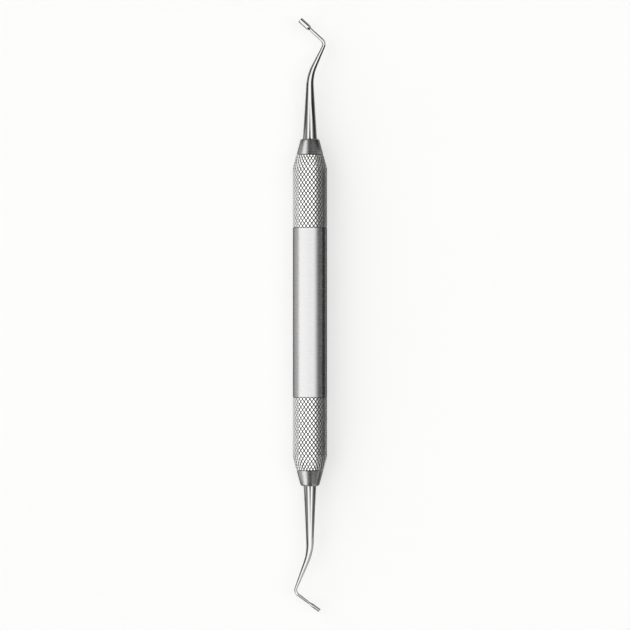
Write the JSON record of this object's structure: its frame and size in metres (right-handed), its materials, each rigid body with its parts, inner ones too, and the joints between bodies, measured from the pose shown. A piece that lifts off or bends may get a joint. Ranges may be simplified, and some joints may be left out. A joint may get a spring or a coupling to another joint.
{
  "type": "double-ended dental plugger",
  "caption": "Hollow round handle with knurled grips and coned ends, and at each end a twice-bent tapered shank with a flat-ended nib for packing filling material into a tooth.",
  "frame": {"origin": "on the handle's axis, halfway along the handle", "axes": "+Y along the handle towards the larger nib, +X to the side of that end's knee in the plane of the bends, +Z square to that plane, up as the instrument is shown lying"},
  "size_m": [0.0094, 0.1646, 0.0094],
  "materials": {
    "satin_steel": "turned satin stainless steel, with a bright knurl",
    "polished_steel": "mirror-polished stainless steel"
  },
  "bodies": {
    "root": {"handle": "satin_steel", "large_plugger_end": "polished_steel", "small_plugger_end": "polished_steel"}
  },
  "joints": []
}
